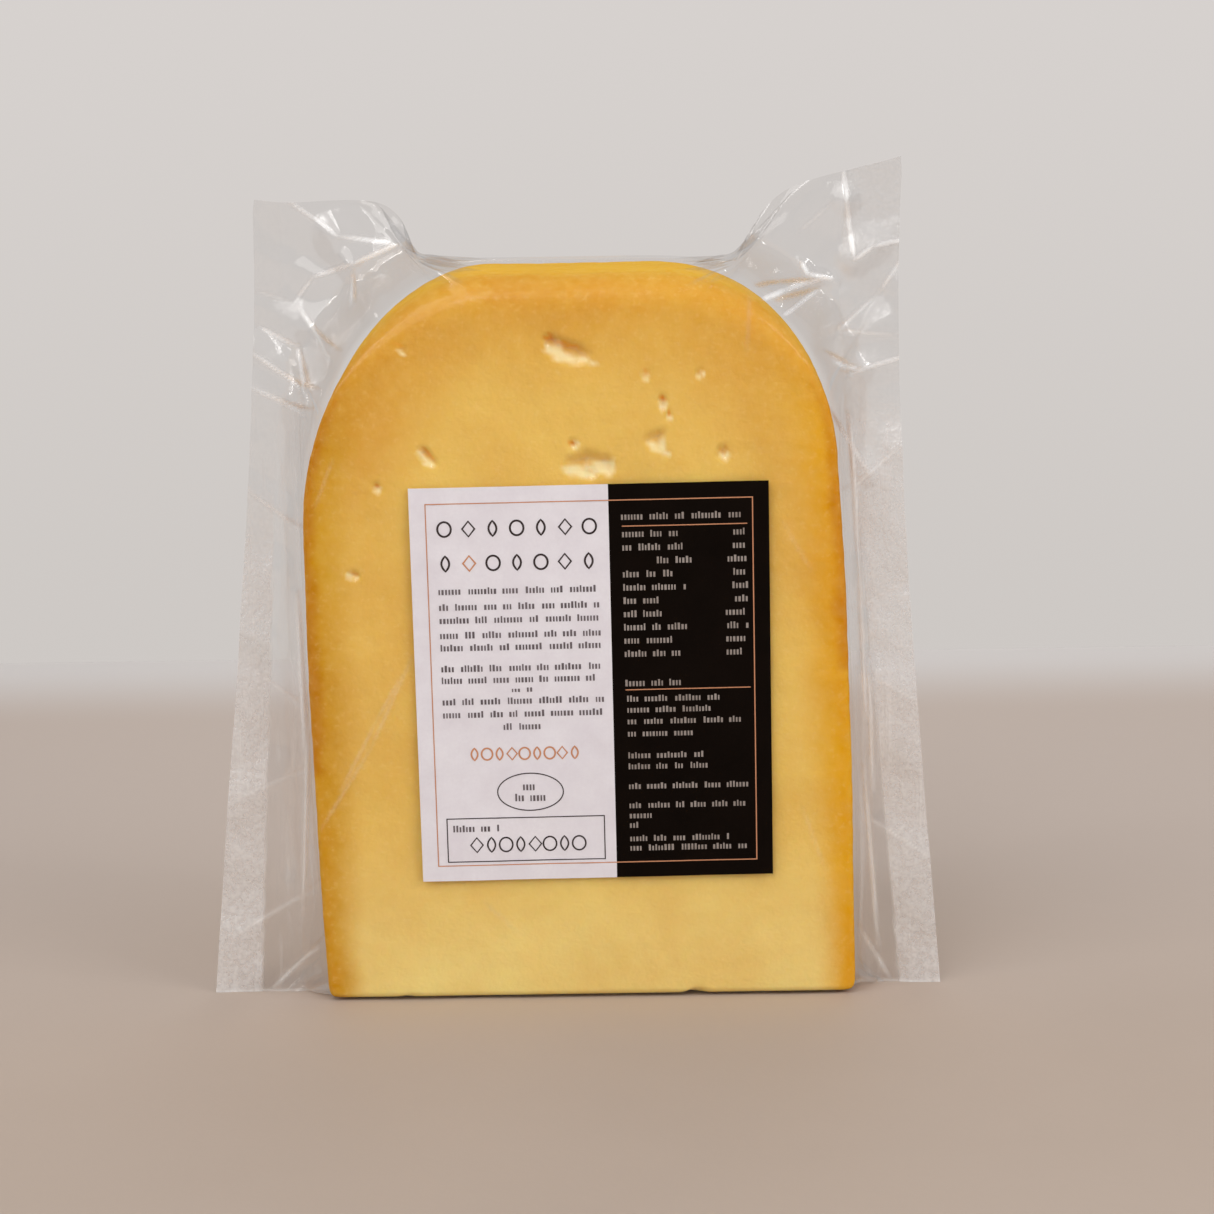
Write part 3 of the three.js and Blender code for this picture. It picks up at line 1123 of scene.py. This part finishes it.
# %% Lay out the print
dark_ink, grey_ink, pale_ink, copper_ink = Ink(), Ink(), Ink(), Ink()

INSET = 2.4  # of the copper frame
copper_ink.frame(INSET, INSET, LABEL_WIDTH - INSET, LABEL_HEIGHT - INSET, 0.16)
ornament_row(dark_ink, 3.9, 27.4, 6.2, 2.3, 7)
ornament_row(dark_ink, 3.9, 27.2, 11.4, 2.3, 7, start=4, accent=copper_ink, accent_at=1)
for v in (15.7, 18.1, 20.1, 22.4, 24.3, 27.5, 29.3, 32.6, 34.6):
    word_row(grey_ink, 3.9, 27.8, v)
word_row(grey_ink, 14.2, 17.6, 30.9, size=0.5)
word_row(grey_ink, 12.8, 18.6, 36.6)
ornament_row(copper_ink, 7.4, 24.2, 40.7, 1.9, 9, width=0.26, start=2)
dark_ink.loop(ellipse(16.5, 46.7, 4.9, 2.9, 48), 0.17)
word_row(grey_ink, 15.4, 17.8, 46.0, size=0.9)
word_row(grey_ink, 14.2, 18.8, 47.7, size=0.9)
dark_ink.frame(3.9, 50.7, 27.4, 57.5, 0.16)
word_row(grey_ink, 4.8, 11.7, 52.4, size=0.8)
ornament_row(dark_ink, 7.1, 24.7, 54.9, 2.3, 8, width=0.24, start=1)

word_row(pale_ink, 30.9, 49.1, 5.0)
copper_ink.bar(31.0, 6.25, 49.3, 6.4)
for k in range(10):
    v = 7.6 + 2.02 * k
    word_row(pale_ink, 31.0 + (5.0 if k == 2 else 0), 31.0 + words.uniform(5.0, 11.0), v)
    word_row(pale_ink, 49.3 - words.uniform(1.8, 4.6), 49.3, v)
word_row(pale_ink, 31.0, 39.6, 30.3)
copper_ink.bar(31.0, 31.15, 49.5, 31.3)
small_rows = [(32.7, 45.4), (34.4, 44.6), (36.2, 49.0), (38.1, 41.0), (41.5, 42.6), (43.2, 43.4)]
small_rows += [(46.3, 49.2), (49.3, 48.6), (50.9, 34.6), (52.4, 33.0), (54.5, 46.0), (56.0, 49.0)]
for v, end in small_rows:
    word_row(pale_ink, 31.2, end, v, size=0.72)

label_dark = dark_ink.piece("label_dark_print")
label_grey = grey_ink.piece("label_grey_print")
label_pale = pale_ink.piece("label_pale_print")
label_copper = copper_ink.piece("label_copper_print")
print("ink quads:", [len(ink.faces) for ink in (dark_ink, grey_ink, pale_ink, copper_ink)])

# %% [markdown]
# ## Node helpers
#
# Materials here are built in code, so a few short helpers keep them readable: one adds a node and
# fills or links its inputs, and the others are the usual sums, blends and ranges. Effects that more
# than one material uses are node groups with named inputs and outputs.

# %% Build nodes
class Recipe:
    """Adds and joins shader nodes in one node tree."""

    def __init__(self, tree):
        self.tree = tree
        tree.nodes.clear()

    def add(self, kind, inputs=None, **settings):
        node = self.tree.nodes.new(kind)
        for key, value in settings.items():
            setattr(node, key, value)
        for key, value in (inputs or {}).items():
            if isinstance(value, bpy.types.NodeSocket):
                self.tree.links.new(value, node.inputs[key])
            else:
                node.inputs[key].default_value = value
        return node

    def math(self, operation, a, b=0.0):
        return self.add("ShaderNodeMath", {0: a, 1: b}, operation=operation).outputs[0]

    def plus(self, a, b):
        return self.math("ADD", a, b)

    def times(self, a, b):
        return self.math("MULTIPLY", a, b)

    def noise(self, where, scale, detail, roughness=0.5):
        inputs = {"Vector": where, "Scale": scale, "Detail": detail, "Roughness": roughness}
        return self.add("ShaderNodeTexNoise", inputs).outputs["Fac"]

    def bumped(self, height, strength, distance):
        """The normal of a surface with this relief."""
        inputs = {"Height": height, "Strength": strength, "Distance": distance}
        return self.add("ShaderNodeBump", inputs).outputs[0]

    def span(self, value, low, high, out_low=0.0, out_high=1.0):
        """value from low to high becomes out_low to out_high, with soft ends."""
        inputs = {"Value": value, "From Min": low, "From Max": high}
        inputs |= {"To Min": out_low, "To Max": out_high}
        return self.add("ShaderNodeMapRange", inputs, interpolation_type="SMOOTHSTEP").outputs[0]

    def blend(self, share, a, b, kind="MIX"):
        inputs = {0: share, 6: a, 7: b}
        return self.add("ShaderNodeMix", inputs, data_type="RGBA", blend_type=kind).outputs[2]

    def attribute(self, name):
        return self.add("ShaderNodeAttribute", attribute_name=name).outputs["Fac"]

    def place(self):
        """Where the surface is, in millimetres: x, y, z."""
        here = self.add("ShaderNodeTexCoord").outputs["Object"]
        scaled = self.add("ShaderNodeVectorMath", {0: here, "Scale": 1000.0}, operation="SCALE")
        return self.add("ShaderNodeSeparateXYZ", {0: scaled.outputs[0]}).outputs

    def surface(self, inputs):
        """A Principled shader with these inputs, as the material's surface."""
        shader = self.add("ShaderNodeBsdfPrincipled", inputs)
        self.add("ShaderNodeOutputMaterial", {"Surface": shader.outputs[0]})

    def group(self, tree, **inputs):
        node = self.add("ShaderNodeGroup", node_tree=tree)
        for name, value in inputs.items():
            socket = node.inputs[name]
            if isinstance(value, bpy.types.NodeSocket):
                self.tree.links.new(value, socket)
            else:
                socket.default_value = value
        return node.outputs


def tone(red, green, blue):
    """A colour given as display values 0 to 255, made linear."""
    shares = (c / 255 for c in (red, green, blue))
    return (*(s / 12.92 if s <= 0.04045 else ((s + 0.055) / 1.055) ** 2.4 for s in shares), 1)


def new_material(name):
    material = bpy.data.materials.new(name)
    material.use_nodes = True
    return material, Recipe(material.node_tree)


def new_group(name, inputs, outputs):
    """An empty node group with number inputs and their defaults, and number outputs."""
    tree = bpy.data.node_groups.new(name, "ShaderNodeTree")
    for label, default in inputs.items():
        socket = tree.interface.new_socket(label, in_out="INPUT", socket_type="NodeSocketFloat")
        socket.default_value = default
    for label in outputs:
        tree.interface.new_socket(label, in_out="OUTPUT", socket_type="NodeSocketFloat")
    recipe = Recipe(tree)
    return tree, recipe, recipe.add("NodeGroupInput").outputs, recipe.add("NodeGroupOutput").inputs


print("cheese yellow is", tuple(round(c, 3) for c in tone(216, 169, 88)[:3]), "in linear light")

# %% [markdown]
# Soft mottle is blotchy unevenness: curd that took colour differently, paper that drank more ink in
# places, haze in a film, dust on a table. Fine grain is the small relief that keeps a surface from
# looking like glass. Every material below uses one or both, each at its own size.

# %% Soft mottle and fine grain
def make_mottle():
    tree, recipe, given, result = new_group("soft mottle", {"Size": 5.0, "Contrast": 1.0}, ["Mask"])
    where = recipe.add("ShaderNodeTexCoord").outputs["Object"]
    scale = recipe.math("DIVIDE", 1000.0, given["Size"])
    centred = recipe.math("SUBTRACT", recipe.noise(where, scale, 4.0, 0.55), 0.5)
    strong = recipe.times(centred, given["Contrast"])
    mask = recipe.add("ShaderNodeMapRange", {"Value": strong, "From Min": -0.25, "From Max": 0.25})
    recipe.tree.links.new(mask.outputs[0], result["Mask"])
    return tree


def make_grain():
    tree, recipe, given, result = new_group("fine grain", {"Size": 0.5}, ["Height"])
    where = recipe.add("ShaderNodeTexCoord").outputs["Object"]
    scale = recipe.math("DIVIDE", 1000.0, given["Size"])
    fine = recipe.noise(where, scale, 3.0)
    swell = recipe.noise(where, recipe.math("DIVIDE", scale, 5.0), 2.0)
    recipe.tree.links.new(recipe.plus(fine, swell), result["Height"])
    return tree


mottle, grain = make_mottle(), make_grain()
print("groups:", mottle.name, "and", grain.name)

# %% [markdown]
# ## Cheese paste and rind
#
# The cut face is warm yellow, deeper towards the rim and almost orange in the last millimetres under the
# rind, where the cheese has dried and ripened most. Near the nose the outside was trimmed, so the dark
# line under the rind stops part of the way down each side. Light goes a few millimetres into
# cheese and comes out warmer, which subsurface scattering gives.

# %% Cheese material
LEFT_RIND_ENDS, RIGHT_RIND_ENDS = 36.0, 51.0  # heights where the dark line stops


def make_cheese_material():
    material, r = new_material("cheese paste")
    x, y, z = r.place()
    under = r.attribute("under_rind")
    on_right = r.math("GREATER_THAN", x, 0.0)
    on_left = r.math("SUBTRACT", 1.0, on_right)

    # the paste, from the nose up and in towards the rim
    low = r.blend(r.span(z, 1, 34), tone(247, 222, 140), tone(241, 203, 106))
    core = r.blend(r.span(z, 55, 92), low, tone(243, 206, 108))
    ripe = r.times(r.span(under, 20.0, 7.0), r.span(z, 40, 96))
    paste = r.blend(ripe, core, tone(232, 182, 80))
    near_rim = r.times(r.span(under, 9.0, 1.5), r.span(z, 88, 104))
    paste = r.blend(near_rim, paste, tone(224, 168, 62))

    # the sides: deeper under the rind, with a dark line where the rind was kept;
    # both are painted lighter on the right than on the left, for how the light falls
    rim = r.span(z, 84, 102)
    left_end = r.span(z, LEFT_RIND_ENDS - 0.8, LEFT_RIND_ENDS + 0.8)
    right_end = r.span(z, RIGHT_RIND_ENDS - 0.6, RIGHT_RIND_ENDS + 0.6)
    kept = r.plus(r.times(right_end, on_right), r.times(left_end, on_left))
    wobble = r.group(mottle, Size=7.0, Contrast=1.0)["Mask"]
    narrower = r.span(z, 4.0, 44.0, 1.35, 1.0)
    reach = r.times(r.plus(under, r.times(wobble, -1.2)), narrower)
    sideways = r.math("SUBTRACT", 1.0, r.times(rim, 0.85))
    side_tone_lit_right = r.blend(on_right, tone(214, 160, 22), tone(233, 172, 14))
    side = r.blend(r.times(r.span(reach, 8.0, 0.4), sideways), paste, side_tone_lit_right)
    shown = r.times(r.plus(0.15, r.times(kept, 0.85)), sideways)
    line = r.blend(on_right, tone(198, 132, 2), tone(212, 142, 0))
    colour = r.blend(r.times(r.span(reach, 2.0, -0.2), shown), side, line)

    # the rind itself, past the cut faces
    worn = r.span(r.math("ABSOLUTE", y), 9.0, 13.0)
    rim_rind = r.blend(worn, tone(231, 174, 50), tone(219, 162, 50))
    rind = r.blend(rim, tone(204, 136, 2), rim_rind)
    shown = r.times(r.plus(0.4, r.times(kept, 0.6)), r.span(z, 0.8, 4.0))
    past_face = r.span(r.attribute("cut_face"), 0.97, 0.1)
    colour = r.blend(r.times(past_face, shown), colour, rind)

    # uneven ripening, specks and a few crystals
    blotch = r.group(mottle, Size=16.0, Contrast=1.5)["Mask"]
    speck = r.group(mottle, Size=1.6, Contrast=1.2)["Mask"]
    colour = r.blend(r.times(blotch, 0.28), colour, tone(226, 176, 84), "MULTIPLY")
    colour = r.blend(r.times(speck, 0.16), colour, tone(250, 214, 132))
    crystal = r.span(r.group(mottle, Size=0.8, Contrast=1.6)["Mask"], 0.8, 1.0)
    colour = r.blend(r.times(crystal, 0.07), colour, tone(255, 228, 160))

    # the hollows: a highlight painted on the lower lips, and shade painted as a deeper orange in the
    # throats
    colour = r.blend(r.times(r.attribute("lip_highlight"), 0.75), colour, tone(255, 240, 190))
    colour = r.blend(r.times(r.attribute("throat_shade"), 0.85), colour, tone(246, 160, 24))

    curd = r.group(mottle, Size=4.0, Contrast=1.0)["Mask"]
    relief = r.plus(r.group(grain, Size=0.7)["Height"], r.times(curd, 1.5))
    r.surface({
        "Base Color": colour,
        "Roughness": r.plus(0.36, r.times(blotch, 0.12)),
        "Normal": r.bumped(relief, 0.35, 0.0002),
        "IOR": 1.45,
        "Specular IOR Level": 0.0,
        "Subsurface Weight": 0.35,
        "Subsurface Radius": (1.0, 0.6, 0.22),
        "Subsurface Scale": 0.0025,
    })
    return material


cheese.data.materials.append(make_cheese_material())
print("cheese has", cheese.data.materials[0].name)

# %% [markdown]
# ## Clear film
#
# A real web is about a tenth of a millimetre of clear laminate, so here it is a single sheet. Seen
# square on it only mirrors a few hundredths of the light, and far more at a glancing angle: that is
# the Fresnel effect, taken for two surfaces at once. The rest passes through. The welds are embossed,
# which scatters some light and makes them milky. Mixing a Transparent shader with a glossy one does
# this without bending what is behind, as thick glass would.

# %% Film material
TWO_SIDED_IOR = 1.62  # above the film's own 1.5, because a web mirrors at both its surfaces
FILM_PASSES = 0.985  # of the light that isn't mirrored or scattered


def make_film_material():
    material, r = new_material("clear film")
    z = r.place()["Z"]
    weld, crease_highlight, clinging = (r.attribute(name) for name in ("weld", "crease_highlight", "clinging"))
    loose = r.math("SUBTRACT", 1.0, clinging)

    # the embossed bar leaves small random dimples
    dimples = r.group(mottle, Size=1.0, Contrast=1.5)["Mask"]
    ripple = r.times(r.group(grain, Size=1.6)["Height"], 0.25)
    bump = r.bumped(r.plus(ripple, r.times(r.times(dimples, weld), 0.8)), 0.5, 0.0002)

    # film that clings has cheese right behind it, which dulls its reflection
    fresnel = r.add("ShaderNodeFresnel", {"IOR": TWO_SIDED_IOR, "Normal": bump}).outputs[0]
    damped = r.math("MINIMUM", r.times(fresnel, 0.4), 0.035)
    bright = r.plus(r.math("MINIMUM", fresnel, 0.2), r.times(crease_highlight, 0.06))
    mirror = r.plus(r.times(bright, loose), r.times(damped, clinging))

    # haze: faint spots, fine upright streaks in the fins and the welds, and a white highlight painted
    # along the folds
    spots = r.times(r.times(r.group(mottle, Size=6.0, Contrast=1.3)["Mask"], 0.02), loose)
    here = r.add("ShaderNodeTexCoord").outputs["Object"]
    upright = r.add("ShaderNodeVectorMath", {0: here, 1: (1, 1, 0.04)}, operation="MULTIPLY")
    streak = r.span(r.noise(upright.outputs[0], 620.0, 3.0), 0.52, 0.72)
    streak = r.times(streak, r.span(z, 100.0, 80.0))
    drawn = r.plus(spots, r.times(r.times(streak, 0.16), loose))
    milky = r.times(r.plus(0.17, r.times(dimples, 0.13)), r.span(z, 60.0, 95.0, 1.25, 0.75))
    haze_and_crease_highlight = r.plus(r.plus(drawn, r.times(weld, milky)), r.times(crease_highlight, 0.5))
    covered = r.plus(mirror, haze_and_crease_highlight)

    milk_and_crease_highlight = r.blend(r.span(z, 84.0, 106.0), tone(240, 238, 237), tone(222, 220, 219))
    # the highlight painted along the folds is near white
    milk_and_crease_highlight = r.blend(r.span(crease_highlight, 0.1, 0.5), milk_and_crease_highlight, tone(252, 252, 252))
    dull = r.math("MAXIMUM", r.math("MAXIMUM", weld, clinging), r.times(crease_highlight, 2.0))
    passes = (FILM_PASSES, FILM_PASSES, FILM_PASSES, 1)
    clear = r.add("ShaderNodeBsdfTransparent", {"Color": passes})
    glossy = r.add("ShaderNodeBsdfPrincipled", {
        "Base Color": milk_and_crease_highlight,
        "Metallic": r.math("DIVIDE", mirror, covered),
        "Roughness": r.plus(0.07, r.times(dull, 0.13)),
        "Normal": bump,
    })
    both = r.add("ShaderNodeMixShader", {0: covered, 1: clear.outputs[0], 2: glossy.outputs[0]})
    r.add("ShaderNodeOutputMaterial", {"Surface": both.outputs[0]})
    return material


film_material = make_film_material()
for web in (front_web, back_web):
    web.data.materials.append(film_material)
square_on = ((TWO_SIDED_IOR - 1) / (TWO_SIDED_IOR + 1)) ** 2
print("film mirrors", round(square_on, 3), "of the light square on")

# %% [markdown]
# ## Paper and inks
#
# Uncoated label paper is never one even white: it is faintly mottled where the glue and the film
# behind it show. The black half is the same paper under a full coat of matt ink. The print uses
# near-black, worn grey, off-white and copper inks.

# %% Label materials
def make_paper(name, base, shade, roughness, specks, sheen=0.15):
    """Paper or ink of one tone, mottled with a second. specks is how much of the second shows."""
    material, r = new_material(name)
    patches = r.group(mottle, Size=6.0, Contrast=1.2)["Mask"]
    fibre = r.group(mottle, Size=0.5, Contrast=1.0)["Mask"]
    colour = r.blend(r.times(patches, specks), base, shade)
    colour = r.blend(r.times(fibre, specks * 0.5), colour, shade)
    r.surface({
        "Base Color": colour,
        "Roughness": r.plus(roughness - 0.05, r.times(patches, 0.1)),
        "Normal": r.bumped(r.group(grain, Size=0.25)["Height"], 0.25, 0.00005),
        "Specular IOR Level": sheen,
    })
    return material


white_paper = make_paper("white paper", tone(236, 233, 238), tone(216, 209, 217), 0.6, 0.5)
black_paper = make_paper("black inked paper", tone(8, 4, 2), tone(22, 13, 8), 0.55, 0.4, 0.06)
dark_print = make_paper("dark ink", tone(46, 38, 40), tone(80, 68, 68), 0.5, 0.5)
grey_print = make_paper("worn grey ink", tone(84, 76, 80), tone(128, 118, 122), 0.5, 0.6)
pale_print = make_paper("pale ink", tone(168, 158, 152), tone(112, 100, 92), 0.55, 0.6)
copper_print = make_paper("copper ink", tone(208, 148, 112), tone(188, 128, 96), 0.45, 0.5)
for material in (white_paper, black_paper):
    label_paper.data.materials.append(material)
label_dark.data.materials.append(dark_print)
label_grey.data.materials.append(grey_print)
label_pale.data.materials.append(pale_print)
label_copper.data.materials.append(copper_print)
print("label materials:", white_paper.name, black_paper.name, dark_print.name)

# %% [markdown]
# ## The table and the studio
#
# The pack stands on a plain pale table that ends behind it. The table grows paler towards its far edge,
# so that it melts into the backdrop as an out-of-focus edge would. The backdrop is the world itself:
# a wall would hide the pack when it is seen from behind.

# %% Table
TABLE_BACK = 0.272
TABLE_REACH = 2.5


def make_table():
    corners = [(-1, -1), (1, -1), (1, 1), (-1, 1)]
    deep = {-1: -TABLE_REACH, 1: TABLE_BACK}
    points = [(TABLE_REACH * x / MM, deep[y] / MM, 0) for x, y in corners]
    table = mesh_object("table", np.array(points, float), [[0, 1, 2, 3]], smooth=False)
    material, r = new_material("pale table")
    y = r.place()["Y"]
    patches = r.group(mottle, Size=60.0, Contrast=1.0)["Mask"]
    near = r.blend(r.times(patches, 0.4), tone(183, 167, 154), tone(173, 157, 144))
    further = r.blend(r.span(y, -60.0, 120.0), near, tone(193, 179, 169))
    colour = r.blend(r.span(y, 200.0, 1000 * TABLE_BACK - 4), further, tone(211, 206, 203))
    r.surface({
        "Base Color": colour,
        "Roughness": r.plus(0.6, r.times(patches, 0.1)),
        "Normal": r.bumped(r.group(grain, Size=1.2)["Height"], 0.2, 0.0002),
        "Specular IOR Level": 0.25,
    })
    table.data.materials.append(material)
    table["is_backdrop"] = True


make_table()
print("table ends", TABLE_BACK, "m behind the pack")

# %% Backdrop and soft boxes
def make_world():
    """A pale backdrop for the camera, and a soft sky, brighter above, for everything else."""
    world = bpy.data.worlds.new("studio")
    world.use_nodes = True
    bpy.context.scene.world = world
    r = Recipe(world.node_tree)
    direction = r.add("ShaderNodeTexCoord").outputs["Generated"]
    upward = r.add("ShaderNodeSeparateXYZ", {0: direction}).outputs[2]
    seen = r.blend(r.span(upward, -0.25, 0.05), tone(204, 199, 195), tone(215, 210, 207))
    sky = r.blend(r.span(upward, -0.4, 0.9), tone(150, 146, 143), tone(214, 212, 212))
    camera_ray = r.add("ShaderNodeLightPath").outputs["Is Camera Ray"]
    backdrop = r.add("ShaderNodeBackground", {"Color": seen, "Strength": 1.0})
    light = r.add("ShaderNodeBackground", {"Color": sky, "Strength": 0.76})
    both = r.add("ShaderNodeMixShader", {0: camera_ray, 1: light.outputs[0], 2: backdrop.outputs[0]})
    r.add("ShaderNodeOutputWorld", {"Surface": both.outputs[0]})


def soft_box(name, place, size, watts, aim=(0, 0, 0.06), warmth=(1, 1, 1), mirrored=True):
    """A lamp with a soft face. If it isn't mirrored, it lights things but shows in no reflection."""
    data = bpy.data.lights.new(name, "AREA")
    data.shape = "RECTANGLE"
    data.size, data.size_y = size
    data.energy = watts
    data.color = warmth
    lamp = bpy.data.objects.new(name, data)
    bpy.context.scene.collection.objects.link(lamp)
    lamp.location = place
    lamp.visible_glossy = mirrored
    lamp.rotation_euler = (Vector(aim) - Vector(place)).to_track_quat("-Z", "Y").to_euler()
    return lamp


make_world()
soft_box("key", (-0.38, -0.62, 0.62), (0.7, 0.7), 3.0, warmth=(1, 0.995, 0.985))
soft_box("fill", (0.55, -0.5, 0.34), (0.4, 0.7), 2.1, mirrored=False)
soft_box("overhead", (-0.06, -0.3, 0.75), (0.22, 0.16), 0.5, mirrored=False)
soft_box("glint", (-0.14, -0.72, 0.6), (0.16, 0.12), 0.4)
soft_box("left strip", (-0.6, -0.35, 0.4), (0.05, 0.3), 0.35)
soft_box("right strip", (0.6, -0.3, 0.5), (0.05, 0.3), 0.35)
soft_box("behind", (0.1, 0.7, 0.42), (0.5, 0.4), 1.5, mirrored=False)
bpy.context.scene.view_settings.view_transform = "Standard"

# %% [markdown]
# ## The size
#
# The CAD box and the finished box are printed side by side.

# %% Sizes and finish
seen_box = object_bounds()
boxes = {"cad": cad_box, "visual": seen_box}
sizes = {name: [[float(v) for v in corner] for corner in box] for name, box in boxes.items()}
for name, (low, high) in sizes.items():
    print(name, "box", [round((b - a) / MM, 2) for a, b in zip(low, high)], "mm")
